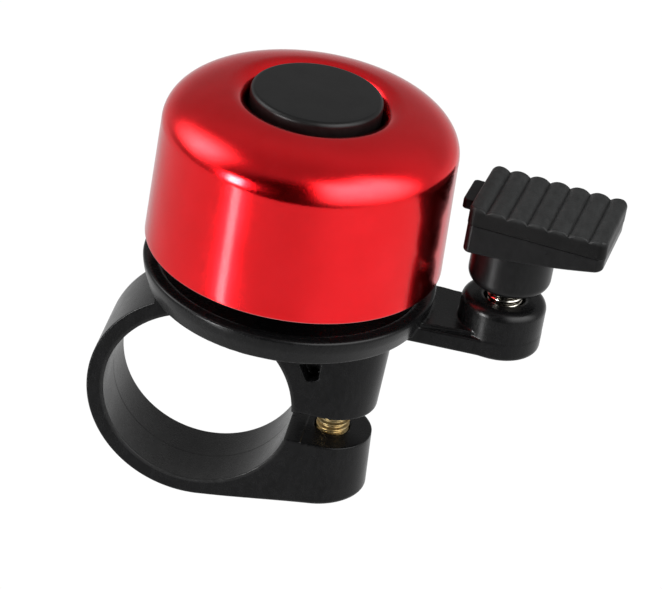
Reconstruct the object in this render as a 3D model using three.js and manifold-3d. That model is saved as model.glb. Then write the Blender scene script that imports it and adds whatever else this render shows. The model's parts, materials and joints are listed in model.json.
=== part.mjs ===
// Bicycle bell with a spring-mounted thumb striker. Millimetres, +Z up along the bell's axis.
// The origin is the centre of the handlebar clamp; +Y runs along the handlebar and +X points to the striker.
import * as THREE from "three";
import { mergeVertices } from "three/addons/utils/BufferGeometryUtils.js";
import Module from "manifold-3d";

const wasm = await Module();
wasm.setup();

// Driving dimensions ---------------------------------------------------------------------------

const BAR_R = 11.1; // bore of the clamp: half of a standard 22.2 mm handlebar
const STRAP_T = 2.0; // wall of the strap
const STRAP_W = 10.6; // width of the clamp along the bar
const FLEX_ANGLE = 153; // where the strap starts to bend, degrees from +X round the bar
const SLIT = 0.3; // gap between two pieces that are cut along the same surface
const REST = 0.05; // gap under a piece that rests on its neighbour

const BELL_X = 7.8; // bell axis, to the striker's side of the bar's centre
const RIM_Z = 19.6; // lower edge of the dome
const RIM_R = 17.0;
const SHOULDER_R = 16.7; // radius where the side turns into the shoulder
const SHOULDER_Z = 33.7;
const CROWN_R = 7.5; // centre circle of the rounded shoulder
const CROWN_Z = 38.7; // height the shoulder would reach there
const CROWN_ARC = 75.2; // degrees of it, up to where the lip rolls in
const CROWN_POWER = 2.1; // a little squarer than an ellipse, which has 2
const LIP_R = 2.1; // roll of the lip round the cap
const LIP_Z = 36.46;
const DOME_T = 1.0; // wall of the dome
const SEAT_R = 7.62; // sunk seat for the cap in the top of the dome
const SEAT_Z = 34.4;

const CAP_R = 7.45;
const CAP_Z = 39.2; // top face of the cap
const CAP_T = 1.2;

const DISC_R = 16.9; // plate under the dome
const DISC_LOW_R = 15.9;
const DISC_BOTTOM = 13.8;
const DISC_TOP = 17.1;
const DISC_FLOOR = 15.6; // dished floor inside the plate's rim

const TOWER_X = 14.85; // centre of the round nose of the screw tower and the strap's foot
const TOWER_BOTTOM = 0.8;
const NOSE_R = STRAP_W / 2;
const NOSE_DRAFT = 0.75; // the tower's nose grows by this towards the plate
const FOOT_TOP = -2.9;
const FOOT_BOTTOM_X = 16.0; // the foot's sloping underside passes this point
const FOOT_BOTTOM_Z = -11.1;
const SCREW_X = 15.6;

const STALK_X = 32.4; // axis of the boss, the spring and the lever
const BOSS_R = 4.85;
const BOSS_TOP_R = 4.85;
const BOSS_BOTTOM = 12.9;
const BOSS_TOP = 19.1;
const ARM_HALF = 4.8;
const ARM_ROOT_X = 16.9; // the arm ends inside the screw tower
const ARM_BOTTOM = 13.15;
const ARM_PLATE_TOP = 15.15;
const ARM_WEB_TOP = 15.7;

const SPRING_R = 2.1; // outside radius
const WIRE_R = 0.31;
const SPRING_PITCH = 0.72;
const SPRING_BOTTOM = 14.7;
const SPRING_TOP = 26.0;

const BARREL_R = 4.7;
const BARREL_BOTTOM = 20.8;
const LEVER_TURN = -7.5; // the lever sits a little twisted on its spring, degrees
const BLOCK_BACK = -5.0; // lever head, measured from the stalk's axis along the lever
const BLOCK_NOSE = 10.8;
const BLOCK_HALF = 5.6;
const BLOCK_LOW_Z = 25.93; // underside at the bell's end; it sweeps up towards the nose
const SEAM_Z = 29.5;
const PAD_TOP = 31.8;
const RIB_COUNT = 7;
const RIB_PITCH = 2.34;
const RIB_DEPTH = 0.55;
const FIRST_GROOVE = -3.0;
const TAB_TIP = -6.38; // hammer tab that strikes the dome
const TAB_FRONT = -2.45;
const TAB_BACK = 2.85;
const TAB_LOW = 29.6;
const TAB_TOP = 30.8;

// Helpers --------------------------------------------------------------------------------------

const radians = THREE.MathUtils.degToRad;

// One closed skin: shared corners merged, needle triangles dropped, faces turned outwards.
function skin(geometry) {
  const bare = geometry.clone();
  bare.deleteAttribute("normal");
  bare.deleteAttribute("uv");
  const merged = mergeVertices(bare, 1e-4);
  const place = merged.attributes.position;
  const index = merged.index.array;
  const corners = [new THREE.Vector3(), new THREE.Vector3(), new THREE.Vector3()];
  const faces = [];
  let volume = 0;
  for (let i = 0; i < index.length; i += 3) {
    const [a, b, c] = index.slice(i, i + 3);
    if (a === b || b === c || c === a) continue;
    faces.push(a, b, c);
    corners.forEach((corner, k) => corner.fromBufferAttribute(place, [a, b, c][k]));
    volume += corners[0].dot(corners[1].clone().cross(corners[2]));
  }
  if (volume < 0) {
    for (let i = 0; i < faces.length; i += 3) [faces[i], faces[i + 1]] = [faces[i + 1], faces[i]];
  }
  merged.setIndex(faces);
  return merged;
}

function solid(geometry) {
  const closed = skin(geometry);
  const vertProperties = Float32Array.from(closed.attributes.position.array);
  const triVerts = Uint32Array.from(closed.index.array);
  return new wasm.Manifold(new wasm.Mesh({ numProp: 3, vertProperties, triVerts }));
}

function fromSolid(body) {
  const mesh = body.getMesh();
  const geometry = new THREE.BufferGeometry();
  geometry.setAttribute("position", new THREE.BufferAttribute(mesh.vertProperties, mesh.numProp));
  geometry.setIndex(new THREE.BufferAttribute(mesh.triVerts, 1));
  return geometry;
}

// Points of an elliptical arc in a profile or outline, from angle a to angle b in degrees.
function arc(x, y, rx, ry, a, b, steps) {
  return Array.from({ length: steps + 1 }, (_, i) => {
    const t = radians(a + ((b - a) * i) / steps);
    return new THREE.Vector2(x + rx * Math.cos(t), y + ry * Math.sin(t));
  });
}

const point = (x, y) => new THREE.Vector2(x, y);

// A turned piece standing on an axis parallel to Z through (x, 0).
function turned(profile, x, segments = 32) {
  const geometry = new THREE.LatheGeometry(profile, segments);
  geometry.rotateX(Math.PI / 2);
  return geometry.translate(x, 0, 0);
}

function disc(x, radius, low, high, segments = 32) {
  return turned([point(0, low), point(radius, low), point(radius, high), point(0, high)], x, segments);
}

function ring(x, inner, outer, low, high, segments = 32) {
  const loop = [point(inner, low), point(outer, low), point(outer, high), point(inner, high), point(inner, low)];
  return turned(loop, x, segments);
}

// An outline in the X-Z plane, as thick as `width` along Y, centred on y = 0.
function sideways(outline, width) {
  const geometry = new THREE.ExtrudeGeometry(new THREE.Shape(outline), { depth: width, bevelEnabled: false });
  geometry.rotateX(Math.PI / 2);
  return geometry.translate(0, width / 2, 0);
}

// An outline in the X-Y plane, from `low` to `high`.
function upright(outline, low, high) {
  const geometry = new THREE.ExtrudeGeometry(new THREE.Shape(outline), { depth: high - low, bevelEnabled: false });
  return geometry.translate(0, 0, low);
}

function hexagon(x, acrossFlats) {
  const r = acrossFlats / Math.sqrt(3);
  return arc(x, 0, r, r, 0, 300, 5);
}

// Bell dome and what fastens it ----------------------------------------------------------------

// Section of the dome's shoulder, from angle a to angle b in degrees.
function shoulder(wide, high, a, b, steps) {
  return arc(0, 0, 1, 1, a, b, steps).map(({ x, y }) =>
    point(CROWN_R + wide * x ** (2 / CROWN_POWER), SHOULDER_Z + high * y ** (2 / CROWN_POWER)));
}

function bellDome() {
  const inner = RIM_R - DOME_T;
  const wide = SHOULDER_R - CROWN_R;
  const high = CROWN_Z - SHOULDER_Z;
  const outside = [
    point(RIM_R, RIM_Z),
    ...shoulder(wide, high, 0, CROWN_ARC, 10),
    ...arc(SEAT_R + LIP_R, LIP_Z, LIP_R, LIP_R, 82.3, 180, 5).slice(1),
    point(SEAT_R, SEAT_Z + 0.6),
    point(SEAT_R - 0.6, SEAT_Z),
    point(2.2, SEAT_Z),
  ];
  const inside = [
    point(2.2, SEAT_Z - DOME_T),
    point(SEAT_R, SEAT_Z - DOME_T),
    point(SEAT_R + DOME_T, SEAT_Z),
    ...arc(SEAT_R + LIP_R, LIP_Z, LIP_R - DOME_T, LIP_R - DOME_T, 180, 95, 3),
    ...shoulder(wide - DOME_T, high - DOME_T, CROWN_ARC - 5, 0, 7),
    point(inner, RIM_Z),
    point(RIM_R, RIM_Z),
  ];
  return turned([...outside, ...inside], BELL_X, 56);
}

function domeCap() {
  const edge = 0.5;
  const profile = [
    point(0, CAP_Z - CAP_T),
    point(CAP_R - CAP_T, CAP_Z - CAP_T),
    point(CAP_R - CAP_T, SEAT_Z + REST),
    point(CAP_R - 0.5, SEAT_Z + REST),
    point(CAP_R, SEAT_Z + 0.8),
    ...arc(CAP_R - edge, CAP_Z - edge, edge, edge, 0, 90, 3),
    point(0, CAP_Z),
  ];
  return turned(profile, BELL_X, 40);
}

const WASHER_T = 0.8;
const HEAD_LOW = SEAT_Z + REST + WASHER_T + REST;
const DAMPER_T = 1.2;
const HUB_TOP = SEAT_Z - DOME_T - REST - DAMPER_T - REST;

function crossSlot(x, bottom, top, span) {
  const arm = new THREE.BoxGeometry(span, 0.7, top - bottom).translate(x, 0, (top + bottom) / 2);
  const across = new THREE.BoxGeometry(0.7, span, top - bottom).translate(x, 0, (top + bottom) / 2);
  return solid(arm).add(solid(across));
}

// Pan-head screw with a cross recess; it points down when `way` is -1 and up when it is 1.
function panScrew(x, headSeat, way, length, headR, headH) {
  const shankR = 1.95;
  const face = headSeat - way * headH;
  const profile = [
    point(0, headSeat + way * length),
    point(shankR - 0.5, headSeat + way * length),
    point(shankR, headSeat + way * (length - 0.6)),
    point(shankR, headSeat),
    point(headR, headSeat),
    ...arc(headR - 1.1, headSeat - way * (headH - 1.1), 1.1, -way * 1.1, 0, 90, 3),
    point(0, face),
  ];
  const deep = face + way * 1.4;
  const slot = crossSlot(x, Math.min(deep, face - way), Math.max(deep, face - way), headR * 1.1);
  return fromSolid(solid(turned(profile, x, 24)).subtract(slot));
}

// Base moulding: plate, hub, striker arm and boss, saddle over the bar and screw tower ------------

function nosePlan(nose) {
  return [point(-20, -NOSE_R), ...arc(TOWER_X, 0, nose, NOSE_R, -90, 90, 16), point(-20, NOSE_R)];
}

function saddleAndTower() {
  const outer = BAR_R + STRAP_T;
  const wide = TOWER_X + NOSE_R + NOSE_DRAFT;
  const start = radians(180) - Math.asin(TOWER_BOTTOM / BAR_R);
  const side = [
    ...arc(0, 0, BAR_R, BAR_R, FLEX_ANGLE, 180 - THREE.MathUtils.radToDeg(start), 24),
    point(wide, TOWER_BOTTOM),
    point(wide, DISC_BOTTOM + 0.5),
    point(-6.5, DISC_BOTTOM + 0.5),
    ...arc(0, 0, outer, outer, 122, FLEX_ANGLE, 4),
  ];
  const plan = upright(nosePlan(NOSE_R), TOWER_BOTTOM, DISC_BOTTOM + 0.5);
  const place = plan.attributes.position;
  for (let i = 0; i < place.count; i += 1) {
    const rise = (place.getZ(i) - TOWER_BOTTOM) / (DISC_BOTTOM - TOWER_BOTTOM);
    const past = Math.max(0, place.getX(i) - TOWER_X);
    place.setX(i, place.getX(i) + (past / NOSE_R) * NOSE_DRAFT * Math.min(rise, 1));
  }
  return solid(sideways(side, STRAP_W)).intersect(solid(plan));
}

function plateAndHub() {
  const profile = [
    point(0, DISC_BOTTOM),
    point(DISC_LOW_R, DISC_BOTTOM),
    point(DISC_R - 0.05, DISC_TOP - 0.9),
    ...arc(DISC_R - 0.6, DISC_TOP - 0.6, 0.6, 0.6, 0, 90, 3),
    point(DISC_R - 1.5, DISC_TOP),
    point(DISC_R - 2.0, DISC_FLOOR),
    point(5.0, DISC_FLOOR),
    point(4.0, DISC_FLOOR + 1.2),
    point(3.6, HUB_TOP),
    point(0, HUB_TOP),
  ];
  return solid(turned(profile, BELL_X, 56));
}

function armAndBoss() {
  const plate = [
    point(ARM_ROOT_X, -ARM_HALF),
    point(STALK_X, -ARM_HALF),
    point(STALK_X, ARM_HALF),
    point(ARM_ROOT_X, ARM_HALF),
  ];
  const web = [point(23, -ARM_HALF), point(STALK_X, -4.0), point(STALK_X, 4.0), point(23, ARM_HALF)];
  const boss = [
    point(0, BOSS_BOTTOM),
    ...arc(BOSS_R - 0.8, BOSS_BOTTOM + 0.8, 0.8, 0.8, -90, 0, 3),
    ...arc(BOSS_TOP_R - 1.1, BOSS_TOP - 1.1, 1.1, 1.1, 0, 90, 3),
    point(0, BOSS_TOP),
  ];
  return solid(turned(boss, STALK_X, 32))
    .add(solid(upright(plate, ARM_BOTTOM, ARM_PLATE_TOP)))
    .add(solid(upright(web, ARM_BOTTOM + 0.3, ARM_WEB_TOP)));
}

const NUT_LOW = 10.2;
const NUT_FLATS = 7.0;

// Shallow pocket between the saddle wall and the screw tower, one on each side.
function sidePocket(side) {
  const outer = BAR_R + STRAP_T;
  const outline = [
    ...arc(0, 0, outer, outer, 25.5, 42, 5),
    point(13.6, outer * Math.sin(radians(42))),
    point(13.6, outer * Math.sin(radians(25.5))),
  ];
  return solid(sideways(outline, 2.0).translate(0, side * (NOSE_R - 0.9), 0));
}

function baseBody() {
  const hubHole = disc(BELL_X, 2.0, HUB_TOP - 13, HUB_TOP + 1, 24);
  const springHole = disc(STALK_X, SPRING_R + 0.1, SPRING_BOTTOM - 0.2, BOSS_TOP + 1, 24);
  const screwHole = disc(SCREW_X, 2.45, TOWER_BOTTOM - 1, NUT_LOW + 1, 24);
  const nutPocket = upright(hexagon(SCREW_X, NUT_FLATS + 0.2), NUT_LOW - REST, DISC_FLOOR + 3);
  const body = plateAndHub()
    .add(armAndBoss())
    .add(saddleAndTower())
    .subtract(solid(hubHole))
    .subtract(solid(springHole))
    .subtract(solid(screwHole))
    .subtract(solid(nutPocket))
    .subtract(sidePocket(-1))
    .subtract(sidePocket(1));
  return fromSolid(body);
}

// Strap with its foot --------------------------------------------------------------------------

const WASHER_SEAT = -6.0; // ceiling of the screw-head recess in the foot

function clampStrap() {
  const outer = BAR_R + STRAP_T;
  const gap = THREE.MathUtils.radToDeg(SLIT / BAR_R);
  const footTurn = THREE.MathUtils.radToDeg(Math.asin(FOOT_TOP / BAR_R));
  const slope = (FOOT_BOTTOM_Z + outer) / FOOT_BOTTOM_X;
  const end = TOWER_X + NOSE_R;
  const side = [
    ...arc(0, 0, outer, outer, FLEX_ANGLE + gap, 270, 24),
    point(end, -outer + slope * end + 0.5),
    point(end, FOOT_TOP),
    ...arc(0, 0, BAR_R, BAR_R, 360 + footTurn, FLEX_ANGLE + gap, 40),
  ];
  const foot = solid(sideways(side, STRAP_W)).intersect(solid(upright(nosePlan(NOSE_R), -20, 20)));
  const hole = disc(SCREW_X, 2.2, WASHER_SEAT - 1, FOOT_TOP + 1, 24);
  const recess = disc(SCREW_X, 4.1, -20, WASHER_SEAT, 32);
  return fromSolid(foot.subtract(solid(hole)).subtract(solid(recess)));
}

function clampNut() {
  const nut = solid(upright(hexagon(SCREW_X, NUT_FLATS), NUT_LOW, NUT_LOW + 3.2));
  return fromSolid(nut.subtract(solid(disc(SCREW_X, 2.35, NUT_LOW - 1, NUT_LOW + 5, 24))));
}

// Striker: spring, lever and ribbed pad ----------------------------------------------------------

class Coil extends THREE.Curve {
  getPoint(t, target = new THREE.Vector3()) {
    const low = SPRING_BOTTOM + WIRE_R;
    const high = SPRING_TOP - WIRE_R;
    const turn = (2 * Math.PI * t * (high - low)) / SPRING_PITCH;
    const r = SPRING_R - WIRE_R;
    return target.set(STALK_X + r * Math.cos(turn), r * Math.sin(turn), low + (high - low) * t);
  }
}

function strikerSpring() {
  const turns = (SPRING_TOP - SPRING_BOTTOM) / SPRING_PITCH;
  const section = new THREE.Shape(arc(0, 0, WIRE_R, WIRE_R, 0, 300, 5));
  return new THREE.ExtrudeGeometry(section, { steps: Math.round(turns * 10), extrudePath: new Coil() });
}

// Rounded rectangle in plan, in the lever's own frame.
function headPlan(inset, corner) {
  const low = BLOCK_BACK + inset + corner;
  const high = BLOCK_NOSE - inset - corner;
  const half = BLOCK_HALF - inset - corner;
  return [
    ...arc(high, -half, corner, corner, -90, 0, 3),
    ...arc(high, half, corner, corner, 0, 90, 3),
    ...arc(low, half, corner, corner, 90, 180, 3),
    ...arc(low, -half, corner, corner, 180, 270, 3),
  ];
}

const underside = (along) => BLOCK_LOW_Z + 0.03 * (along - BLOCK_BACK) + 0.0062 * (along - BLOCK_BACK) ** 2;

function strikerLever() {
  const sweep = Array.from({ length: 9 }, (_, i) => {
    const along = BLOCK_BACK - 0.5 + (i * (BLOCK_NOSE - BLOCK_BACK + 1)) / 8;
    return point(along, underside(along));
  });
  const side = [point(BLOCK_BACK - 0.5, SEAM_Z), ...sweep, point(BLOCK_NOSE + 0.5, SEAM_Z)];
  const plan = upright(headPlan(0.05, 0.9), BLOCK_LOW_Z - 1, SEAM_Z + 1);
  const block = solid(sideways(side, 3 * BLOCK_HALF)).intersect(solid(plan));
  const barrelTop = SEAM_Z - 1;
  const barrel = [
    point(0, BARREL_BOTTOM),
    ...arc(BARREL_R - 1.3, BARREL_BOTTOM + 1.3, 1.3, 1.3, -90, 0, 4),
    point(BARREL_R, barrelTop),
    point(0, barrelTop),
  ];
  const bore = disc(0, SPRING_R + 0.1, BARREL_BOTTOM - 1, SPRING_TOP + 0.2, 24);
  const socket = disc(3.2, 1.3, SEAM_Z - 1.1, SEAM_Z + 1, 16);
  return fromSolid(block.add(solid(turned(barrel, 0, 32))).subtract(solid(bore)).subtract(solid(socket)));
}

// Ribbed pad with the hammer tab that faces the dome.
function thumbPad() {
  const slab = solid(upright(headPlan(0, 0.9), SEAM_Z + REST, PAD_TOP));
  const ribs = [];
  for (let i = 0; i < RIB_COUNT; i += 1) {
    const middle = FIRST_GROOVE + (i - 0.5) * RIB_PITCH;
    ribs.push(...arc(middle, PAD_TOP - RIB_DEPTH, RIB_PITCH / 2, RIB_DEPTH, 180, 0, 6).slice(i ? 1 : 0));
  }
  const low = SEAM_Z - 1;
  const outline = [point(ribs[0].x, low), point(ribs[ribs.length - 1].x, low), ...ribs.reverse()];
  const ribbed = slab.intersect(solid(sideways(outline, 3 * BLOCK_HALF)));
  const peg = solid(disc(3.2, 1.2, SEAM_Z - 1.0, SEAM_Z + 0.5, 16));
  const corner = 0.5;
  const tab = [
    point(BLOCK_BACK + 1, TAB_FRONT),
    point(BLOCK_BACK + 1, TAB_BACK),
    ...arc(TAB_TIP + corner, TAB_BACK - corner, corner, corner, 90, 180, 3),
    ...arc(TAB_TIP + corner, TAB_FRONT + corner, corner, corner, 180, 270, 3),
  ];
  return fromSolid(ribbed.add(peg).add(solid(upright(tab, TAB_LOW, TAB_TOP))));
}

// Assembly -------------------------------------------------------------------------------------

const redAluminium = new THREE.MeshStandardMaterial({ color: 0xd8141c, roughness: 0.15, metalness: 0.9 });
const glossBlack = new THREE.MeshStandardMaterial({ color: 0x161616, roughness: 0.3, metalness: 0 });
const satinBlack = new THREE.MeshStandardMaterial({ color: 0x202022, roughness: 0.5, metalness: 0 });
const brightSteel = new THREE.MeshStandardMaterial({ color: 0xc8c8c8, roughness: 0.25, metalness: 1 });
const yellowZinc = new THREE.MeshStandardMaterial({ color: 0xc9a65a, roughness: 0.3, metalness: 1 });
const rubber = new THREE.MeshStandardMaterial({ color: 0x1a1a1a, roughness: 0.9, metalness: 0 });

function named(name, geometry, material) {
  const mesh = new THREE.Mesh(skin(geometry), material);
  mesh.name = name;
  return mesh;
}

const bell = new THREE.Group();
bell.add(
  named("base_body", baseBody(), glossBlack),
  named("bell_dome", bellDome(), redAluminium),
  named("dome_cap", domeCap(), satinBlack),
  named("dome_screw", panScrew(BELL_X, HEAD_LOW, -1, 14, 3.6, 2.2), brightSteel),
  named("dome_washer", ring(BELL_X, 2.15, 4.6, SEAT_Z + REST, SEAT_Z + REST + WASHER_T), brightSteel),
  named("damping_washer", ring(BELL_X, 2.15, 5.6, HUB_TOP + REST, HUB_TOP + REST + DAMPER_T), rubber),
  named("clamp_nut", clampNut(), brightSteel),
  named("clamp_strap", clampStrap(), glossBlack),
  named("clamp_washer", ring(SCREW_X, 2.15, 3.9, WASHER_SEAT - REST - 0.6, WASHER_SEAT - REST), brightSteel),
  named("clamp_screw", panScrew(SCREW_X, WASHER_SEAT - 2 * REST - 0.6, 1, 20, 3.7, 2.6), yellowZinc),
  named("striker_spring", strikerSpring(), brightSteel),
);

const striker = new THREE.Group();
striker.position.set(STALK_X, 0, 0);
striker.rotation.z = radians(LEVER_TURN);
striker.add(
  named("striker_lever", strikerLever(), satinBlack),
  named("thumb_pad", thumbPad(), satinBlack),
);
bell.add(striker);

export default bell;
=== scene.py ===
"""Visual model of a red bicycle bell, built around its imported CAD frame.

Sizes are in millimetres until a mesh is made.
"""

import itertools
import json
import math

import bpy
import numpy as np
from mathutils import Matrix, Vector


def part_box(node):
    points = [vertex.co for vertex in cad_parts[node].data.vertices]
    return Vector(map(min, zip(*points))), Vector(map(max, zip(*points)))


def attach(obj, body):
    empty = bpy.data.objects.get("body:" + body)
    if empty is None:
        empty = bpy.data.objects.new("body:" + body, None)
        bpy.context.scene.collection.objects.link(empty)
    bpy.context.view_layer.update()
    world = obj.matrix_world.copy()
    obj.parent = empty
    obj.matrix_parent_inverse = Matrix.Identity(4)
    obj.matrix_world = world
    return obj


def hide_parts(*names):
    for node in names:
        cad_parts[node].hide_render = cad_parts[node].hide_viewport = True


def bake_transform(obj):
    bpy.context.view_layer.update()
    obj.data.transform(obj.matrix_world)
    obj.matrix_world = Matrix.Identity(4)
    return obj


MM = 0.001

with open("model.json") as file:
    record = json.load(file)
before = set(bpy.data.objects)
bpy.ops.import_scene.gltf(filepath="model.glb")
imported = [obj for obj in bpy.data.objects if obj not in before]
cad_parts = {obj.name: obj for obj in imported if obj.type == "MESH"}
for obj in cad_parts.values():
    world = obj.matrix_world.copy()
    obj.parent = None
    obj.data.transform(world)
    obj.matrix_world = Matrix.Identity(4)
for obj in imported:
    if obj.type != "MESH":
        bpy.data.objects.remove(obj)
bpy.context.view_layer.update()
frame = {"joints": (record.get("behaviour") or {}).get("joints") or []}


def box(node):
    """Lowest and highest corner of a CAD node's box, in millimetres."""
    return [[round(v / MM, 3) for v in corner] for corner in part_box(node)]


def bottom(node):
    return box(node)[0][2]


def top(node):
    return box(node)[1][2]


def side(node):
    """How far a CAD node reaches along +y: the radius of a round one, half the width of another."""
    return box(node)[1][1]


def middle(node):
    """Where a CAD node's box has its middle along x."""
    low, high = box(node)
    return round((low[0] + high[0]) / 2, 3)


def place_of(joint):
    """Place of a CAD joint, in millimetres."""
    found = next(j for j in frame["joints"] if j["name"] == joint)
    return [round(v / MM, 3) for v in found["pos_m"]]


# Driving dimensions, read from the frame -------------------------------------------------------

CONTACT = 0.05  # space that touching solids keep in the CAD

BELL_X = middle("bell_dome")
DOME_R, RIM_Z = side("bell_dome"), bottom("bell_dome")
CAP_TOP = top("dome_cap")
HUB_TOP = top("base_body")
SEAT_Z = round(bottom("dome_washer") - CONTACT, 3)
TOP_SCREW_SEAT = round(top("dome_washer") + CONTACT, 3)

STRAP_R, CLAMP_HALF = -bottom("clamp_strap"), side("clamp_strap")
SCREW_X = middle("clamp_screw")
SCREW_TOP = top("clamp_screw")
SCREW_SEAT = round(bottom("clamp_washer") - CONTACT, 3)
NUT_LOW, NUT_TOP = bottom("clamp_nut"), top("clamp_nut")

STALK_X, _, PIVOT_Z = place_of("striker_tilt")
BARREL_LOW, SEAM_Z = bottom("striker_lever"), top("striker_lever")
PAD_TOP = top("thumb_pad")

# Dimensions that the boxes in the frame don't give ----------------------------------------------

BAR_R = 11.1
PLATE_LOW, PLATE_FLOOR, PLATE_TOP = 13.8, 15.6, 17.1
PLATE_R, DISH_R = 16.95, 14.95
CONE_R, CONE_SLOPE = 15.95, 0.37  # the plate's edge: its radius at the bottom, and how it widens
HUB_R = 4.0
FOOT_LOW, FOOT_SLOPE = -13.213, 0.1321  # height of the foot's underside at x = 0, and its slope
FOOT_TOP, TOWER_LOW = -2.9, 0.8  # the clamp's gap is between these heights
TOWER_BACK, FOOT_BACK = -6.5, 1.71  # where tower and foot end, inside the strap
NOSE_X = 14.85  # centre of the round nose of tower and foot
ARM_ROOT_X, WEB_ROOT_X = 16.9, 18
ARM_LOW, ARM_TOP, WEB_TOP = 13.15, 15.2, 15.78
ARM_HALF, WEB_HALF, WEB_TAPER = 4.78, 4.58, 0.085
BOSS_R, BOSS_LOW, BOSS_TOP = 4.87, 12.9, 19.1

LEVER_TURN = math.radians(-7.5)  # the lever sits a little twisted on its spring
BARREL_R = 4.72
HEAD_BACK, HEAD_NOSE, HEAD_HALF = -5.0, 10.8, 5.6  # lever's head, from the stalk along the lever
HEAD_LOW = 25.93
RIB_PITCH = 2.34
RIB_DEPTH = 0.46
FIRST_GROOVE = -3.0
TAB_TIP, TAB_SIDES, TAB_HEIGHTS = -6.38, (-2.45, 2.85), (29.6, 30.8)

WIRE_R = 0.31
COIL_R = 1.79  # from the spring's axis to the middle of its wire
COIL_PITCH = 0.72
SPRING_LOW, SPRING_HIGH = 15.01, 25.69

SCREW_R = 1.95  # M4 screws
HEAD_DOME_R = 8.6
THREAD_PITCH = 0.7
THREAD_DEPTH = 0.38
THREAD_END = 0.55  # length of the bevel at each end of a thread

WALL_R = 16.7  # outside of the dome where its side meets its shoulder
DOME_WALL = 1.0
SHOULDER_Z = 33.7
CROWN_R, CROWN_Z, CROWN_POWER = 7.5, 38.7, 2.1
SEAT_R, SEAT_HOLE_R = 7.62, 2.2
LIP_X, LIP_Z, LIP_R = 9.72, 36.46, 2.1  # middle and radius of the lip that rolls into the seat
CAP_R = 7.43
WASHER_BORE = 2.15

FLOOR_Z = -600  # the bell floats well above the floor
CAMERA_PLACE = (37.970, -286.865, 182.799)
CAMERA_AIM = (12.917, 0, 14.280)
CAMERA_ROLL = math.radians(9.498)
CAMERA_LENS = 158.83


# Solids as distance fields ---------------------------------------------------------------------


def both(a, b, r):
    """Intersection of two solids, with the edge where they meet rounded to radius r."""
    u, v = a + r, b + r
    return np.minimum(np.maximum(u, v), 0) + np.hypot(np.maximum(u, 0), np.maximum(v, 0)) - r


def either(a, b, r):
    """Union of two solids, with a fillet of radius r in the corner between them."""
    return -both(-a, -b, r)


def without(a, b, r):
    """Solid a with solid b cut away and the edge of the cut rounded."""
    return both(a, -b, r)


def between(v, low, high):
    """The slab from low to high."""
    return np.abs(v - (low + high) / 2) - (high - low) / 2


def ease(v, low, high):
    """0 below low and 1 above high, with a smooth step between them."""
    t = np.clip((v - low) / (high - low), 0, 1)
    return t * t * (3 - 2 * t)


COS_30 = 0.8660254


def hexagon(x, y, across):
    """Hexagon that is `across` wide between two flats."""
    a = np.abs(y)
    b = np.abs(COS_30 * x + 0.5 * y)
    c = np.abs(COS_30 * x - 0.5 * y)
    return np.maximum(np.maximum(a, b), c) - across / 2


def slope_of(field, p):
    """Gradient of the field at the points p."""
    e = 0.005  # half the distance over which it is measured
    g = np.empty_like(p)
    for i in range(3):
        step = np.zeros(3)
        step[i] = e
        g[:, i] = (field(*(p + step).T) - field(*(p - step).T)) / (2 * e)
    return g


def normal_of(field, p):
    g = slope_of(field, p)
    return g / np.maximum(np.linalg.norm(g, axis=1), 1e-9)[:, None]


def settle(field, p, reach):
    """Moves the points p onto the field's zero surface, by at most `reach` in each of two rounds."""
    for _ in range(2):
        g = slope_of(field, p)
        d = field(*p.T) / np.maximum((g * g).sum(1), 0.05)
        p = p - np.clip(d, -reach, reach)[:, None] * g
    return p


def axis(start, *spans):
    """Grid positions from start on; each span runs up to an end by about a step."""
    values = [start]
    for end, step in spans:
        step = step * 1
        count = max(1, round((end - values[-1]) / step))
        values += list(np.linspace(values[-1], end, count + 1)[1:])
    return np.array(values)


def crossings(field, axes, d, cells):
    """For each side of each cell that the surface cuts: the cell's number, the place and the normal."""
    found = []
    for corner in itertools.product((0, 1), repeat=3):
        for i in range(3):
            if corner[i]:
                continue
            a, b = np.array(corner), np.array(corner)
            b[i] = 1
            ia, ib = (cells + a).T, (cells + b).T
            da, db = d[tuple(ia)], d[tuple(ib)]
            at = np.flatnonzero((da < 0) != (db < 0))
            t = (da[at] / (da[at] - db[at]))[:, None]
            pa = np.stack([ax[k[at]] for ax, k in zip(axes, ia)], 1)
            pb = np.stack([ax[k[at]] for ax, k in zip(axes, ib)], 1)
            place = pa + t * (pb - pa)
            found.append((at, place, normal_of(field, place)))
    return found


def corners_of(field, axes, d, cells):
    """One point for each cell, where the tangent planes of its crossings meet, so edges stay crisp."""
    found = crossings(field, axes, d, cells)
    total, hits = np.zeros((len(cells), 3)), np.zeros(len(cells))
    for at, place, _ in found:
        total[at] += place
        hits[at] += 1
    mean = total / hits[:, None]
    pull = np.zeros((len(cells), 3, 3)) + 0.05 * np.eye(3)
    push = np.zeros((len(cells), 3))
    for at, place, normal in found:
        pull[at] += normal[:, :, None] * normal[:, None, :]
        push[at] += normal * (normal * (place - mean[at])).sum(1)[:, None]
    move = np.linalg.solve(pull, push[:, :, None])[:, :, 0]
    size = np.stack([np.diff(ax)[k] for ax, k in zip(axes, cells.T)], 1)
    return mean + np.clip(move, -0.7 * size, 0.7 * size)


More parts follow.
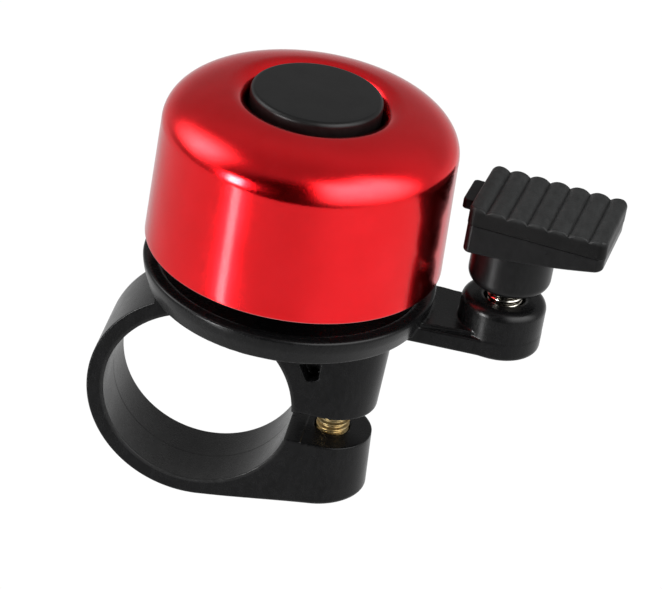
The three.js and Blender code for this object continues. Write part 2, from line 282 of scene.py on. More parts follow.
def skin_of(field, axes):
    """Quads over the field's zero surface, with one corner in each grid cell that it crosses."""
    x, y, z = axes[0][:, None, None], axes[1][None, :, None], axes[2][None, None, :]
    d = np.ascontiguousarray(np.broadcast_to(field(x, y, z), [len(a) for a in axes]))
    solid = d < 0
    n = [s - 1 for s in d.shape]
    count = np.zeros(n, np.int8)
    for i, j, k in itertools.product((0, 1), repeat=3):
        count += solid[i : n[0] + i, j : n[1] + j, k : n[2] + k]
    cells = np.argwhere((count > 0) & (count < 8))
    number = np.full(n, -1, np.int64)
    number[tuple(cells.T)] = np.arange(len(cells))
    quads = []
    for way in range(3):
        u, v = (way + 1) % 3, (way + 2) % 3
        here, there = [slice(None)] * 3, [slice(None)] * 3
        here[way], there[way] = slice(0, -1), slice(1, None)
        a, b = solid[tuple(here)], solid[tuple(there)]
        at = np.argwhere(a != b)
        at = at[(at[:, u] > 0) & (at[:, v] > 0) & (at[:, u] < n[u]) & (at[:, v] < n[v])]
        out = a[tuple(at.T)]
        eu, ev = np.eye(3, dtype=int)[u], np.eye(3, dtype=int)[v]
        q = np.stack([number[tuple((at - m).T)] for m in (eu + ev, ev, 0 * eu, eu)], 1)
        quads.append(np.where(out[:, None], q, q[:, ::-1]))
    return corners_of(field, axes, d, cells), np.concatenate(quads)


def new_object(name, points, faces):
    """A smooth-shaded mesh object from points in millimetres."""
    mesh = bpy.data.meshes.new(name)
    mesh.from_pydata((np.asarray(points, float) * MM).tolist(), [], [list(map(int, f)) for f in faces])
    mesh.validate()
    mesh.polygons.foreach_set("use_smooth", [True] * len(mesh.polygons))
    obj = bpy.data.objects.new(name, mesh)
    bpy.context.scene.collection.objects.link(obj)
    return obj


SETTLE_REACH = 0.06


def moulded(name, field, axes):
    points, quads = skin_of(field, axes)
    points = settle(field, points, SETTLE_REACH)
    obj = new_object(name, points, quads)
    obj.data.normals_split_custom_set_from_vertices(normal_of(field, points).tolist())
    return obj


# Turned pieces ---------------------------------------------------------------------------------


def arc(cx, cy, rx, ry, a, b, steps):
    """Points on an ellipse, from angle a to angle b in degrees."""
    t = np.radians(np.linspace(a, b, steps + 1))
    return [(cx + rx * math.cos(v), cy + ry * math.sin(v)) for v in t]


def line(a, b, steps):
    """Points on a straight line from a to b."""
    run, rise = b[0] - a[0], b[1] - a[1]
    return [(a[0] + run * i / steps, a[1] + rise * i / steps) for i in range(steps + 1)]


def turned(name, profile, x, segments=256):
    """A piece turned round the vertical axis through (x, 0), from a closed loop of (radius, height)."""
    segments = segments
    loop = [p for i, p in enumerate(profile) if math.dist(p, profile[i - 1]) > 1e-4]
    points, faces, rows = [], [], []
    for r, z in loop:
        if r < 1e-4:
            rows.append([len(points)] * segments)
            points.append((x, 0, z))
            continue
        rows.append(list(range(len(points), len(points) + segments)))
        for k in range(segments):
            a = 2 * math.pi * k / segments
            points.append((x + r * math.cos(a), r * math.sin(a), z))
    for i, row in enumerate(rows):
        after = rows[(i + 1) % len(rows)]
        for k in range(segments):
            m = (k + 1) % segments
            corners = [row[k], row[m], after[m], after[k]]
            face = [c for j, c in enumerate(corners) if c != corners[j - 1]]
            if len(face) > 2:
                faces.append(face)
    return new_object(name, points, faces)


# The fields of the pieces ----------------------------------------------------------------------
#
# Where a surface slopes, a factor under 1 keeps its field close to true distance. The last argument
# of both, either and without is always the radius of an edge or a fillet.


def plate_hub(x, y, z):
    """The round plate with its dished top, and the hub that carries the dome."""
    r = np.hypot(x - BELL_X, y)
    cone = (r - (CONE_R + (z - PLATE_LOW) * CONE_SLOPE)) * 0.938
    plate = both(both(cone, r - PLATE_R, 0.4), z - PLATE_TOP, 0.5)
    plate = both(plate, PLATE_LOW - z, 0.18)
    dish = both(r - DISH_R, PLATE_FLOOR - z, 0.35)
    plate = without(plate, dish, 0.7)
    hub_r = HUB_R - (z - 16.8) * 0.026
    hub = both(both(r - hub_r, z - HUB_TOP, 0.3), 14.8 - z, 0.1)
    return either(plate, hub, 0.8)


def arm_boss(x, y, z):
    """The striker's arm, a flange with a narrower web on it, and the boss at its end."""
    r = np.hypot(x - STALK_X, y)
    past = np.where(x < STALK_X, np.abs(y), r)
    flange = both(both(past - ARM_HALF, z - ARM_TOP, 0.1), ARM_LOW - z, 0.35)
    flange = both(flange, ARM_ROOT_X - x, 0.1)
    half = WEB_HALF - WEB_TAPER * (x - 24)
    web = both(both(np.abs(y) - half, z - WEB_TOP, 0.12), between(x, WEB_ROOT_X, STALK_X), 0.05)
    web = both(web, 13.6 - z, 0.05)
    boss = both(both(r - BOSS_R, z - BOSS_TOP, 1.1), BOSS_LOW - z, 0.8)
    return either(np.minimum(flange, web), boss, 0.22)


def clamp_outline(x, z):
    """Side view of strap, tower and foot, solid where the bar passes, with the gap cut in."""
    tower = np.maximum(np.maximum(TOWER_BACK - x, z - 14.6), TOWER_LOW - z)
    under = (FOOT_LOW + FOOT_SLOPE * x - z) / math.hypot(1, FOOT_SLOPE)
    foot = np.maximum(np.maximum(under, z - FOOT_TOP), FOOT_BACK - x)
    outline = np.minimum(np.minimum(np.hypot(x, z) - STRAP_R, tower), foot)
    gap = np.maximum(-x, between(z, FOOT_TOP, TOWER_LOW))
    return without(outline, gap, 0.12)


def clamp_nose(x, y, z):
    """Round nose and flat sides of the clamp; the nose grows towards the plate."""
    rise = np.clip((z - TOWER_LOW) / 13, 0, 1)
    grow = np.where(z > -1, 0.12 + 0.65 * rise, 0.12 - 0.04 * (z - FOOT_TOP)) / CLAMP_HALF
    return np.hypot(np.maximum(x - NOSE_X, 0) / (1 + grow), y) - CLAMP_HALF


def clamp(x, y, z):
    """Strap, tower and foot with the bar's bore and a pocket in each side of the tower."""
    softer_foot = 0.5 * ease(x, 3, 15) * ease(-z, 4, 9)
    softer_gap = 0.3 * ease(x, 10, 12) * ease(-np.abs(z - TOWER_LOW), -2, -0.5)
    body = both(clamp_outline(x, z), clamp_nose(x, y, z), 0.16 + softer_foot + softer_gap)
    q = np.hypot(x, z)
    body = without(body, q - BAR_R, 0.12)
    above = (z - (7.4 + 0.27 * (x - 10.9))) * 0.965
    below = (5.45 + 0.28 * (x - 12.2) - z) * 0.965
    pocket = both(both(both(above, below, 0.3), 13.3 - q, 0.3), x - 13.55, 0.3)
    pocket = both(pocket, 3.4 - np.abs(y), 0.2)
    return without(body, pocket, 0.1)


def nut_pocket(x, y, z):
    """Hexagonal pocket that holds the nut, open at the top."""
    return both(hexagon(x - SCREW_X, y, 7.2), NUT_LOW - CONTACT - z, 0.1)


def plate_and_arm(x, y, z):
    """Upper part of the moulding: plate, hub, striker arm and boss."""
    pilot_hole = both(np.hypot(x - BELL_X, y) - 2.0, 19.1 - z, 0.1)
    spring_hole = both(np.hypot(x - STALK_X, y) - 2.2, 14.5 - z, 0.1)
    body = either(plate_hub(x, y, z), arm_boss(x, y, z), 0.3)
    body = without(body, pilot_hole, 0.15)
    body = without(body, spring_hole, 0.75)
    return without(body, nut_pocket(x, y, z), 0.15)


def clamp_and_tower(x, y, z):
    """Lower part of the same moulding: screw tower, strap and foot; its top is inside the plate."""
    screw_r = np.hypot(x - SCREW_X, y)
    tower_hole = np.maximum(screw_r - 2.42, between(z, -1, 15))
    foot_hole = np.maximum(screw_r - 2.1, between(z, -9, -1))
    head_recess = np.maximum(screw_r - 4.1, between(z, -20, -6))
    body = without(clamp(x, y, z), tower_hole, 0.15)
    body = without(body, nut_pocket(x, y, z), 0.15)
    body = without(body, foot_hole, 0.05)
    return without(body, head_recess, 0.25)


def along_lever(x, y):
    """Coordinates in the lever's own frame: along it, and across it."""
    c, s = math.cos(LEVER_TURN), math.sin(LEVER_TURN)
    dx = x - STALK_X
    return c * dx + s * y, -s * dx + c * y


def head_plan(u, v, inset, corner):
    """Plan of the lever's head, drawn in by `inset`, with rounded corners."""
    return both(np.abs(v) - HEAD_HALF + inset, between(u, HEAD_BACK + inset, HEAD_NOSE - inset), corner)


def lever(x, y, z):
    """Barrel over the spring and the wedge-shaped head up to the seam."""
    u, v = along_lever(x, y)
    r = np.hypot(u, v)
    barrel = both(both(r - BARREL_R, BARREL_LOW - z, 1.3), z - 28.5, 0.1)
    out = u - HEAD_BACK
    below = (HEAD_LOW + 0.03 * out + 0.0062 * out**2 - z) * 0.98
    block = both(both(head_plan(u, v, 0.04, 0.9), below, 0.4), z - SEAM_Z, 0.07)
    spring_hole = both(r - 2.35, z - 26.25, 0.1)
    return without(either(block, barrel, 0.3), spring_hole, 0.3)


def pad(x, y, z):
    """Ribbed thumb pad with the tab that strikes the dome."""
    u, v = along_lever(x, y)
    t = 2 * (((u - FIRST_GROOVE) / RIB_PITCH) % 1) - 1
    crown = (z - (PAD_TOP - RIB_DEPTH * np.abs(t) ** 2.3)) * 0.85
    plan = head_plan(u, v, 0, 0.9)
    slab = both(both(plan, crown, 0.22), SEAM_Z + 0.02 - z, 0.07)
    tab = both(between(v, *TAB_SIDES), between(u, TAB_TIP, -3), 0.5)
    tab = both(tab, between(z, *TAB_HEIGHTS), 0.16)
    return either(slab, tab, 0.12)


def cross(x, y, half, arm):
    """Plan of a cross recess: half the width of its arms, and their length."""
    one = np.maximum(np.abs(x) - half, np.abs(y) - arm)
    two = np.maximum(np.abs(y) - half, np.abs(x) - arm)
    return np.minimum(one, two)


def pan_head(x0, seat, way, head_r, head_h):
    """Field of a pan head with a cross recess; its screw points down where way is -1, up where it is 1."""

    def field(x, y, z):
        x = x - x0
        h = (z - seat) * way
        r = np.hypot(x, y)
        ball = np.hypot(r, h + head_h - HEAD_DOME_R) - HEAD_DOME_R
        head = both(both(r - head_r, ball, 0.45), h, 0.12)
        depth = h + head_h
        taper = 1 - 0.16 * np.clip(depth, 0, 2)
        recess = np.maximum(cross(x, y, head_r * 0.55 * taper, 0.42 * taper), depth - 1.4)
        return without(head, recess, 0.06)

    return field


def threaded(name, x0, low, high, r, depth, sleeve=0.0):
    """A right-hand M4 thread on a bar, or inside a sleeve whose wall is `sleeve` thick."""
    around, step = ((72, 0.05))
    turn = np.arange(around) / around
    across, along = np.cos(2 * np.pi * turn), np.sin(2 * np.pi * turn)

    def ring(radius, z):
        return np.stack([x0 + radius * across, radius * along, np.full(around, z)], 1)

    rings = []
    for z in np.arange(low, high + step / 2, step):
        phase = np.abs(((z / THREAD_PITCH - turn) % 1) * 2 - 1)
        groove = depth * ease(phase, 0.1, 0.92)
        end = max(0.0, THREAD_END - (high - z), THREAD_END - (z - low))
        rings.append(ring(r + groove if sleeve else np.minimum(r - groove, r - end), z))
    if sleeve:
        rings += [ring(r + sleeve, high), ring(r + sleeve, low)]
    faces = []
    for i in range(len(rings) if sleeve else len(rings) - 1):
        here, there = i * around, (i + 1) % len(rings) * around
        for k in range(around):
            m = (k + 1) % around
            face = [here + k, here + m, there + m, there + k]
            faces.append(face[::-1] if sleeve else face)
    if not sleeve:
        faces.append(list(range(around))[::-1])
        faces.append([(len(rings) - 1) * around + k for k in range(around)])
    return new_object(name, np.concatenate(rings), faces)


def nut_body(x, y, z):
    """Hexagon nut with turned corners; its bore leaves the screw room to tilt as the strap closes."""
    dx = x - SCREW_X
    r = np.hypot(dx, y)
    body = both(hexagon(dx, y, 7.0), between(z, NUT_LOW, NUT_TOP), 0.06)
    off_middle = np.abs(z - (NUT_LOW + NUT_TOP) / 2)
    body = np.maximum(body, 0.8 * (r + 0.55 * off_middle - 4.62))
    return without(body, np.minimum(r - 2.5, 0.7 * (r - off_middle - 1.0)), 0.03)


# Spring ----------------------------------------------------------------------------------------


def coil(name, low, high):
    """One length of the striker's spring, from height low to height high, with flat ends."""
    around, per_turn = 14, 48
    steps = max(8, round((high - low) / COIL_PITCH * per_turn))
    points, faces = [], []
    climb = COIL_PITCH / (2 * math.pi)
    for i in range(steps + 1):
        z = low + (high - low) * i / steps
        a = (z - SPRING_LOW) / climb
        out = Vector((math.cos(a), math.sin(a), 0))
        ahead = Vector((-COIL_R * math.sin(a), COIL_R * math.cos(a), climb)).normalized()
        up = ahead.cross(out).normalized()
        centre = Vector((STALK_X, 0, z)) + COIL_R * out
        for k in range(around):
            t = 2 * math.pi * k / around
            points.append(centre + WIRE_R * (math.cos(t) * out + math.sin(t) * up))
    for i in range(steps):
        for k in range(around):
            m = (k + 1) % around
            a, b = i * around, (i + 1) * around
            faces.append([a + k, a + m, b + m, b + k])
    faces.append(list(range(around))[::-1])
    faces.append([steps * around + k for k in range(around)])
    return new_object(name, points, faces)


# Materials -------------------------------------------------------------------------------------


class Graph:
    """Short calls that add nodes to a node tree."""

    def __init__(self, tree):
        self.tree = tree

    def node(self, kind, **values):
        n = self.tree.nodes.new(kind)
        for key, value in values.items():
            setattr(n, key, value)
        return n

    def join(self, a, b):
        self.tree.links.new(a, b)

    def ranged(self, value, low, high, to_low, to_high, smooth=False):
        n = self.node("ShaderNodeMapRange")
        n.interpolation_type = "SMOOTHSTEP" if smooth else "LINEAR"
        for key, v in zip(("From Min", "From Max", "To Min", "To Max"), (low, high, to_low, to_high)):
            n.inputs[key].default_value = v
        self.join(value, n.inputs["Value"])
        return n.outputs["Result"]

    def math(self, op, *values):
        n = self.node("ShaderNodeMath", operation=op)
        for socket, v in zip(n.inputs, values):
            if isinstance(v, (int, float)):
                socket.default_value = v
            else:
                self.join(v, socket)
        return n.outputs["Value"]

    def parts(self, vector):
        n = self.node("ShaderNodeSeparateXYZ")
        self.join(vector, n.inputs["Vector"])
        return n.outputs["X"], n.outputs["Y"], n.outputs["Z"]


class Finish(Graph):
    """A material with one Principled shader, and patterns measured in millimetres."""

    def __init__(self, name, colour, roughness, metallic=0.0, specular=0.5):
        self.mat = bpy.data.materials.new(name)
        self.mat.use_nodes = True
        super().__init__(self.mat.node_tree)
        self.shader = next(n for n in self.tree.nodes if n.type == "BSDF_PRINCIPLED")
        self.shader.inputs["Base Color"].default_value = (*colour, 1)
        self.shader.inputs["Roughness"].default_value = roughness
        self.shader.inputs["Metallic"].default_value = metallic
        self.shader.inputs["Specular IOR Level"].default_value = specular
        self.mat.diffuse_color = (*colour, 1)
        self.where = self.node("ShaderNodeTexCoord").outputs["Object"]
        self.relief = None

    def noise(self, scale, detail=3.0, rough=0.55, stretch=(1, 1, 1)):
        """Noise with `scale` features to the millimetre, squeezed along each axis by `stretch`."""
        place = self.node("ShaderNodeMapping", vector_type="POINT")
        place.inputs["Scale"].default_value = [scale * s / MM for s in stretch]
        self.join(self.where, place.inputs["Vector"])
        n = self.node("ShaderNodeTexNoise")
        n.inputs["Scale"].default_value = 1.0
        n.inputs["Detail"].default_value = detail
        n.inputs["Roughness"].default_value = rough
        self.join(place.outputs["Vector"], n.inputs["Vector"])
        return n.outputs["Fac"]

    def blend(self, fac, a, b):
        """Colour a where fac is 0 and colour b where it is 1; each is a colour or a socket."""
        n = self.node("ShaderNodeMix", data_type="RGBA")
        self.join(fac, n.inputs["Factor"])
        for socket, v in zip([s for s in n.inputs if s.type == "RGBA"], (a, b)):
            if isinstance(v, (tuple, list)):
                socket.default_value = (*v, 1)
            else:
                self.join(v, socket)
        return next(s for s in n.outputs if s.type == "RGBA")

    def colour(self, socket):
        self.join(socket, self.shader.inputs["Base Color"])

    def roughness(self, socket):
        self.join(socket, self.shader.inputs["Roughness"])

    def bump(self, height, distance):
        """Adds relief of `distance` millimetres; further calls stack on it."""
        n = self.node("ShaderNodeBump")
        n.inputs["Distance"].default_value = distance * MM
        self.join(height, n.inputs["Height"])
        if self.relief is not None:
            self.join(self.relief, n.inputs["Normal"])
        self.relief = n.outputs["Normal"]
        self.join(self.relief, self.shader.inputs["Normal"])


def red_anodised():
    """Polished, red-dyed aluminium: lengthways sheen from the lathe, a clear hard skin and fine sparkle."""
    f = Finish("red_anodised", (0.8, 0.007, 0.012), 0.17, metallic=1.0)
    s = f.shader.inputs
    s["Coat Weight"].default_value = 0.27
    s["Coat Roughness"].default_value = 0.07
    s["Specular Tint"].default_value = (0.72, 0.66, 0.67, 1)
    s["Anisotropic"].default_value = 0.3
    tangent = f.node("ShaderNodeTangent", direction_type="RADIAL", axis="Z")
    f.join(tangent.outputs["Tangent"], s["Tangent"])
    cloud = f.noise(0.22, 4)
    sparkle = f.noise(5, 3)
    turning = f.noise(0.35, 3, stretch=(0.4, 0.4, 22))
    dyed = f.blend(f.ranged(cloud, 0.3, 0.7, 0, 1), (0.76, 0.006, 0.010), (0.82, 0.009, 0.015))
    # A pale pink band just above the rim's edge is a painted highlight along that edge.
    painted_rim_highlight = f.ranged(f.parts(f.where)[2], (RIM_Z + 0.06) * MM, (RIM_Z + 0.22) * MM, 1, 0, smooth=True)
    f.colour(f.blend(painted_rim_highlight, dyed, (0.85, 0.42, 0.42)))
    rough = f.ranged(sparkle, 0.35, 0.65, 0.14, 0.19)
    f.roughness(f.math("ADD", rough, f.ranged(cloud, 0.3, 0.7, -0.015, 0.02)))
    f.bump(sparkle, 0.013)
    f.bump(turning, 0.001)
    glints = f.ranged(f.noise(7, 2), 0.58, 0.7, 0, 1, smooth=True)
    f.bump(glints, 0.0012)
    return f.mat


def black_plastic(name, base, rough, specular, grain, relief, unevenness):
    """Black moulding, `rough` from its smoothest to its most worn: cloudy gloss, fine grain, slight waves."""
    low, high = rough
    f = Finish(name, base, low, specular=specular)
    cloud = f.noise(0.35, 5)
    scuffs = f.noise(1.6, 6, 0.7, stretch=(1, 3, 0.6))
    lighter = tuple(c * 2 + 0.0012 for c in base)
    f.colour(f.blend(f.ranged(scuffs, 0.35, 0.75, 0, 1), base, lighter))
    even = f.ranged(cloud, 0.3, 0.7, low, (low + high) / 2)
    worn = f.ranged(scuffs, 0.5, 0.75, 0, (high - low) / 2)
    f.roughness(f.math("ADD", even, worn))
    f.bump(f.noise(0.45, 1), unevenness)
    f.bump(f.noise(grain, 3, 0.6), relief)
    return f


def moulding_finish():
    """Glossy black, with the mould's parting line and paler patches inside the clamp that are a painted
    sheen.
    """
    f = black_plastic(
        "gloss_black_plastic",
        (0.0013, 0.0013, 0.0014),
        rough=(0.23, 0.36),
        specular=0.135,
        grain=5,
        relief=0.0015,
        unevenness=0.014,
    )
    x, y, z = f.parts(f.where)
    step = f.ranged(y, -0.12 * MM, 0.12 * MM, 0, 1, smooth=True)
    reach = f.math("SQRT", f.math("ADD", f.math("MULTIPLY", x, x), f.math("MULTIPLY", z, z)))
    bore = f.ranged(reach, (BAR_R + 0.2) * MM, (BAR_R + 0.5) * MM, 1, 0)
    f.bump(f.math("MULTIPLY", step, bore), 0.03)
    # Paler patches inside the bore are a painted sheen: the colour is lightened there, in a patchy pattern.
    painted_bore_sheen = f.ranged(f.noise(0.8, 5, 0.65, stretch=(1, 0.4, 1)), 0.3, 0.7, 0.5, 1)
    scuffed = f.shader.inputs["Base Color"].links[0].from_socket
    f.colour(f.blend(f.math("MULTIPLY", painted_bore_sheen, bore), scuffed, (0.012, 0.012, 0.012)))
    return f.mat


def pad_finish():
    """Matt black that thumbs have rubbed paler and blotchy on top of the ribs."""
    black = (0.0012, 0.0012, 0.0012)
    f = black_plastic(
        "pad_plastic", black, rough=(0.38, 0.6), specular=0.12, grain=3.5, relief=0.016, unevenness=0.03
    )
    blotch = f.noise(0.9, 5, 0.65, stretch=(1.6, 0.7, 1))
    ribs = f.ranged(f.parts(f.where)[2], (PAD_TOP - 0.7) * MM, (PAD_TOP - 0.2) * MM, 0, 1, smooth=True)
    worn = f.math("MULTIPLY", ribs, f.ranged(blotch, 0.3, 0.7, 0.45, 1))
    f.colour(f.blend(worn, black, (0.014, 0.0145, 0.0145)))
    return f.mat


def metal(name, base, other, roughness, relief, stretch=(1, 1, 1), patch=0.6):
    """Plated or drawn metal: patches of another tint and lines left by the tool."""
    f = Finish(name, base, roughness, metallic=1.0)
    cloud = f.noise(patch, 4)
    lines = f.noise(2.5, 4, 0.6, stretch=stretch)
    f.colour(f.blend(f.ranged(cloud, 0.35, 0.65, 0, 1), base, other))
    even = f.ranged(cloud, 0.3, 0.7, roughness * 0.8, roughness * 1.15)
    f.roughness(f.math("ADD", even, f.ranged(lines, 0.4, 0.7, 0, roughness * 0.5)))
    f.bump(lines, relief)
    return f.mat


ZINC = (0.55, 0.56, 0.58), (0.44, 0.45, 0.47)
YELLOW_ZINC = (0.3, 0.2, 0.075), (0.2, 0.16, 0.085)


def rubber():
    """Dull black rubber with some dust on it."""
    f = Finish("black_rubber", (0.012, 0.012, 0.012), 0.7, specular=0.3)
    dust = f.noise(1.2, 5)
    f.colour(f.blend(f.ranged(dust, 0.4, 0.7, 0, 1), (0.006, 0.006, 0.006), (0.02, 0.019, 0.018)))
    f.roughness(f.ranged(dust, 0.3, 0.7, 0.6, 0.8))
    f.bump(f.noise(10, 4), 0.01)
    return f.mat


# Pieces ----------------------------------------------------------------------------------------


def shoulder(wide, high, a, b, steps):
    """Section of the dome's shoulder, a little squarer than an ellipse."""
    p = 2 / CROWN_POWER
    return [(CROWN_R + wide * x**p, SHOULDER_Z + high * y**p) for x, y in arc(0, 0, 1, 1, a, b, steps)]


def dome_profile():
    """Closed profile of the dome: outside from the rim up, over the lip into the seat, then back inside."""
    edge, curl, wall = 0.22, 0.6, DOME_WALL
    low = RIM_Z + 0.25
    inside, inner_lip = DOME_R - wall, LIP_R - wall
    wide, high = WALL_R - CROWN_R, CROWN_Z - SHOULDER_Z
    points = arc(DOME_R - edge, low, edge, low - RIM_Z, -90, 0, 6)
    points += line((DOME_R, low), (WALL_R, SHOULDER_Z - 0.2), 24)[1:]
    points += shoulder(wide, high, 1.5, 74.9, 60)
    points += arc(LIP_X, LIP_Z, LIP_R, LIP_R, 82, 180, 24)
    points += line((SEAT_R, LIP_Z), (SEAT_R, SEAT_Z + curl), 4)[1:]
    points += arc(SEAT_R - curl, SEAT_Z + curl, curl, curl, 0, -90, 6)[1:]
    points += line((SEAT_R - curl, SEAT_Z), (SEAT_HOLE_R, SEAT_Z), 5)[1:]
    points += line((SEAT_HOLE_R, SEAT_Z - wall), (SEAT_R, SEAT_Z - wall), 5)
    points += arc(SEAT_R, SEAT_Z, wall, wall, -90, 0, 5)[1:]
    points += arc(LIP_X, LIP_Z, inner_lip, inner_lip, 180, 95, 10)
    points += shoulder(wide - wall, high - wall, 70, 2, 30)
    points += line((WALL_R - wall, SHOULDER_Z - 0.3), (inside, low), 20)
    points += arc(inside + edge, low, edge, low - RIM_Z, 180, 270, 6)[1:]
    return points


def cap_profile():
    """Closed profile of the cap: a cup that stands open side down on the seat."""
    foot, brow, inside = 0.58, 0.53, 6.2
    low, high, ceiling = SEAT_Z + CONTACT, CAP_TOP - brow, CAP_TOP - 1.2
    points = [(inside + 0.1, low), (CAP_R - foot, low)]
    points += arc(CAP_R - foot, low + 0.6, foot, 0.6, -90, 0, 6)[1:]
    points += line((CAP_R, low + 0.6), (CAP_R, high), 12)[1:]
    points += arc(CAP_R - brow, high, brow, brow, 0, 90, 14)[1:]
    points += line((CAP_R - brow, CAP_TOP), (0, CAP_TOP + 0.03), 10)[1:]
    points += [(0, ceiling), (inside, ceiling)]
    return points


def washer_profile(inner, outer, low, high, edge):
    """Closed profile of a flat ring with rounded edges."""
    return (
        arc(inner + edge, low + edge, edge, edge, 180, 270, 4)
        + arc(outer - edge, low + edge, edge, edge, 270, 360, 4)
        + arc(outer - edge, high - edge, edge, edge, 0, 90, 4)
        + arc(inner + edge, high - edge, edge, edge, 90, 180, 4)
    )


def finished(obj, material, slot, body, *nodes):
    """Gives a piece its material, the body that it rides on and the CAD nodes that it replaces; slot is not
    used.
    """
    obj.data.materials.append(material)
    if body:
        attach(obj, body)
    if nodes:
        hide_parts(*nodes)
    return obj


def grid(low, high, steps):
    """Even grid positions from one corner of a box to the other."""
    return tuple(axis(a, (b, step)) for a, b, step in zip(low, high, steps))


def washer(name, node, edge, material, slot, body):
    """A flat ring with rounded edges in place of a CAD washer."""
    profile = washer_profile(WASHER_BORE, side(node), bottom(node), top(node), edge)
    return finished(turned(name, profile, middle(node), 96), material, slot, body, node)


def striker_spring(steel):
    """The spring in two halves that meet at its bending point."""
    lower = coil("spring_lower", SPRING_LOW, PIVOT_Z)
    finished(lower, steel, "spring_steel", None, "striker_spring")
    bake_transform(lower)
    upper = coil("spring_upper", PIVOT_Z, SPRING_HIGH)
    finished(upper, steel, "spring_steel", None)
    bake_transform(upper)


def bell():
    """Dome with its cap, screw and washers."""
    matt = black_plastic(
        "cap_plastic",
        (0.0012, 0.0012, 0.0012),
        rough=(0.36, 0.5),
        specular=0.17,
        grain=9,
        relief=0.003,
        unevenness=0.006,
    ).mat
    zinc = metal("zinc_steel", *ZINC, roughness=0.3, relief=0.003, stretch=(1, 1, 6))
    finished(turned("dome", dome_profile(), BELL_X), red_anodised(), "red_anodised", "base", "bell_dome")
    finished(turned("cap", cap_profile(), BELL_X, 192), matt, "satin_black_plastic", "base", "dome_cap")
    field = pan_head(BELL_X, TOP_SCREW_SEAT, -1, side("dome_screw"), 2.2)
    head = moulded("top_screw_head", field, grid((4, -3.8, 35), (11.6, 3.8, 38), (0.12, 0.12, 0.1)))
    finished(head, zinc, "zinc_steel", "base", "dome_screw")
    low, high = bottom("dome_screw"), TOP_SCREW_SEAT + 0.1
    shank = threaded("top_screw_thread", BELL_X, low, high, SCREW_R, THREAD_DEPTH)
    finished(shank, zinc, "zinc_steel", "base")
    washer("washer", "dome_washer", 0.12, zinc, "zinc_steel", "base")
    washer("damper", "damping_washer", 0.25, rubber(), "black_rubber", "base")


def moulding():
    """The main moulding in two parts that meet inside the plate."""
    gloss = moulding_finish()
    x = axis(-9.6, (27, 0.27), (37.9, 0.2))
    y = axis(-17.4, (-5.4, 0.27), (5.4, 0.2), (17.4, 0.27))
    z = axis(12.5, (20, 0.17), (31.2, 0.6), (32.5, 0.15))
    upper = moulded("plate_and_arm", plate_and_arm, (x, y, z))
    finished(upper, gloss, "gloss_black_plastic", "base", "base_body")
    x = axis(-13.57, (21.53, 0.2))
    y = axis(-5.6, (-4.7, 0.11), (4.7, 0.22), (5.6, 0.11))
    z = axis(-13.6, (15, 0.2))
    low = moulded("clamp_and_tower", clamp_and_tower, (x, y, z))
    finished(low, gloss, "gloss_black_plastic", None, "clamp_strap")
    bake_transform(low)


def clamp_screw():
    """The clamp's screw, washer and nut."""
    zinc = metal("nut_steel", *ZINC, roughness=0.32, relief=0.004)
    yellow = metal("yellow_zinc", *YELLOW_ZINC, roughness=0.36, relief=0.003, patch=0.9)
    nut = moulded("nut", nut_body, grid((11.3, -4.4, 9.9), (19.9, 4.4, 13.7), (0.12, 0.12, 0.12)))
    finished(nut, zinc, "zinc_steel", "base", "clamp_nut")
    low, high = NUT_LOW + CONTACT, NUT_TOP - CONTACT
    inner = threaded("nut_thread", SCREW_X, low, high, 2.29, 0.13, sleeve=0.4)
    finished(inner, zinc, "zinc_steel", "base")
    field = pan_head(SCREW_X, SCREW_SEAT, 1, side("clamp_screw"), 2.6)
    head = moulded("long_screw_head", field, grid((11.7, -3.9, -9.6), (19.5, 3.9, -6.5), (0.12, 0.12, 0.1)))
    finished(head, yellow, "yellow_zinc", "screw", "clamp_screw")
    shank = threaded("long_screw_thread", SCREW_X, SCREW_SEAT - 0.1, SCREW_TOP, SCREW_R, THREAD_DEPTH)
    finished(shank, yellow, "yellow_zinc", "screw")
    washer("screw_washer", "clamp_washer", 0.1, zinc, "zinc_steel", "screw")


def striker():
    """Spring, lever and ribbed pad."""
    steel = metal("spring_steel", (0.46, 0.43, 0.37), (0.36, 0.35, 0.32), roughness=0.12, relief=0.0006)
    striker_spring(steel)
    smooth = black_plastic(
        "lever_plastic",
        (0.0018, 0.0018, 0.0019),
        rough=(0.27, 0.4),
        specular=0.15,
        grain=7,
        relief=0.0025,
        unevenness=0.01,
    ).mat
    head = moulded("striker_head", lever, grid((26.4, -7.5, 20.6), (43.9, 7.5, 29.6), (0.14, 0.14, 0.13)))
    finished(head, smooth, "satin_black_plastic", "striker", "striker_lever")
    axes = grid((25.52, -7.48, 29.3), (43.92, 7.52, 32), (0.12, 0.12, 0.1))
    finished(moulded("ribbed_pad", pad, axes), pad_finish(), "satin_black_plastic", "striker", "thumb_pad")


# Stage, light and camera ------------------------------------------------------------------------


def window(g, value, low, high, soft_low, soft_high):
    """1 between low and high, easing to 0 across each of them."""
    rise = g.ranged(value, low - soft_low, low + soft_low, 0, 1, smooth=True)
    fall = g.ranged(value, high - soft_high, high + soft_high, 1, 0, smooth=True)
    return g.math("MULTIPLY", rise, fall)


def directions(g, vector):
    """Bearing in degrees from the front (-Y), growing towards +X, and degrees above the horizon."""
    x, y, z = g.parts(vector)
    bearing = g.math("MULTIPLY", g.math("ARCTAN2", x, g.math("MULTIPLY", y, -1)), 180 / math.pi)
    height = g.math("MULTIPLY", g.math("ARCSINE", z), 180 / math.pi)
    return bearing, height


def lamp(g, where, strength, around, height, softness):
    """A patch of light between two bearings and two heights; softness is for bearings, bottom and top."""
    a = window(g, where[0], *around, softness[0], softness[0])
    b = window(g, where[1], *height, softness[1], softness[2])
    return g.math("MULTIPLY", g.math("MULTIPLY", a, b), strength)


def seen(g, lit, plain):
    """The lighting value, but a plain pale one where the camera looks straight at it."""
    path = g.node("ShaderNodeLightPath").outputs["Is Camera Ray"]
    direct = g.math("MULTIPLY", path, plain)
    return g.math("ADD", g.math("MULTIPLY", lit, g.math("SUBTRACT", 1, path)), direct)


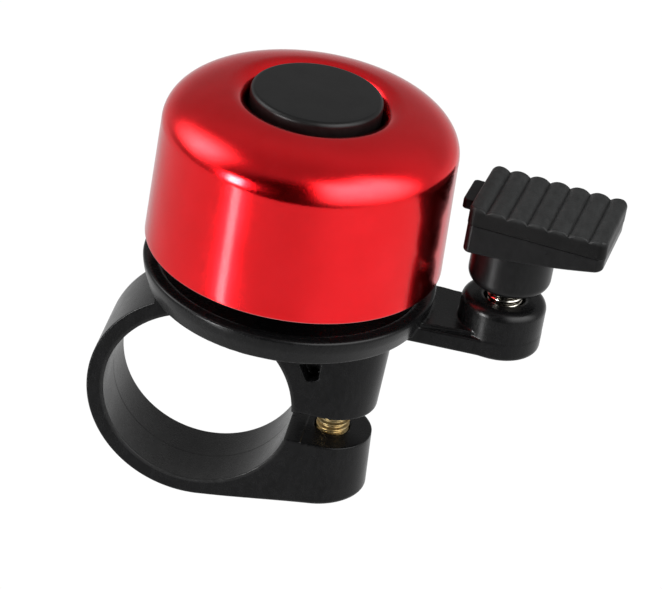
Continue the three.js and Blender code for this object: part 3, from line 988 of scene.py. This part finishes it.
def room():
    """Studio light by direction: dim behind the camera, pale behind the bell, and three soft lamps.

    The room's own light changes smoothly along y (front to back), x and the height above the horizon.
    """
    world = bpy.data.worlds.new("room")
    bpy.context.scene.world = world
    world.use_nodes = True
    g = Graph(world.node_tree)
    vector = g.node("ShaderNodeTexCoord").outputs["Generated"]
    where = directions(g, vector)
    x, y, _ = g.parts(vector)
    front = g.ranged(y, -0.75, -0.4, 0.012, 0.4, smooth=True)
    behind = g.ranged(y, 0.0, 0.45, 0, 0.13, smooth=True)
    behind = g.math("ADD", behind, g.ranged(y, 0.45, 0.75, 0, -0.1, smooth=True))
    right_wall = g.ranged(x, -0.2, 0.6, 0, 0.1, smooth=True)
    low = g.math("MULTIPLY", window(g, where[1], -20, 6, 4, 12), g.ranged(y, 0.3, 0.7, 0, 0.3, smooth=True))
    walls = g.math("ADD", g.math("ADD", front, behind), g.math("ADD", right_wall, low))
    left = lamp(g, where, 12, (-106, -78), (16, 48), (20, 20, 16))
    right = lamp(g, where, 9, (25, 94), (14, 60), (13, 36, 13))
    spot = lamp(g, where, 60, (-50, -39), (-6, 16), (3, 6, 6))
    total = g.math("ADD", g.math("ADD", walls, left), g.math("ADD", right, spot))
    back = next(n for n in g.tree.nodes if n.type == "BACKGROUND")
    back.inputs["Color"].default_value = (1, 1, 1, 1)
    g.join(seen(g, total, 0.97), back.inputs["Strength"])
    world.cycles.sampling_method = "MANUAL"
    world.cycles.sample_map_resolution = 1024


def floor():
    """A pale table top that glows by itself, so it stays white, with the spot lamp's glare on it.

    From below it is clear, so that views from under the bell aren't blocked.
    """
    far, front = 3000, -1650
    corners = [(x, y, FLOOR_Z) for x, y in ((-far, front), (far, front), (far, far), (-far, far))]
    obj = new_object("floor", corners, [(0, 1, 2, 3)])
    mat = bpy.data.materials.new("floor")
    mat.use_nodes = True
    g = Graph(mat.node_tree)
    for n in [n for n in g.tree.nodes if n.type == "BSDF_PRINCIPLED"]:
        g.tree.nodes.remove(n)
    x, y, _ = g.parts(g.node("ShaderNodeTexCoord").outputs["Object"])
    bearing = g.math("MULTIPLY", g.math("ARCTAN2", x, g.math("MULTIPLY", y, -1)), 180 / math.pi)
    reach = g.math("SQRT", g.math("ADD", g.math("MULTIPLY", x, x), g.math("MULTIPLY", y, y)))
    across = window(g, bearing, -46.5, -40, 2.5, 2.5)
    glare = g.math("MULTIPLY", across, window(g, reach, 0.7, 1.9, 0.2, 0.4))
    pale = g.math("ADD", g.ranged(x, 0.1, 0.9, 0.86, 1.06, smooth=True), g.math("MULTIPLY", glare, 17))
    glow = g.node("ShaderNodeEmission")
    g.join(seen(g, pale, 1.02), glow.inputs["Strength"])
    clear = g.node("ShaderNodeBsdfTransparent")
    mix = g.node("ShaderNodeMixShader")
    g.join(g.node("ShaderNodeNewGeometry").outputs["Backfacing"], mix.inputs[0])
    g.join(glow.outputs["Emission"], mix.inputs[1])
    g.join(clear.outputs["BSDF"], mix.inputs[2])
    out = next(n for n in g.tree.nodes if n.type == "OUTPUT_MATERIAL")
    g.join(mix.outputs["Shader"], out.inputs["Surface"])
    obj.data.materials.append(mat)


def camera():
    data = bpy.data.cameras.new("camera")
    data.sensor_width = 36
    data.lens = CAMERA_LENS
    data.clip_start, data.clip_end = 0.01, 20
    obj = bpy.data.objects.new("camera", data)
    bpy.context.scene.collection.objects.link(obj)
    place, aim = Vector(CAMERA_PLACE), Vector(CAMERA_AIM)
    turn = (aim - place).to_track_quat("-Z", "Y").to_matrix() @ Matrix.Rotation(CAMERA_ROLL, 3, "Z")
    obj.matrix_world = Matrix.Translation(place * MM) @ turn.to_4x4()
    bpy.context.scene.camera = obj


bell()
moulding()
clamp_screw()
striker()
floor()
room()
camera()
bpy.context.scene.view_settings.view_transform = "Standard"
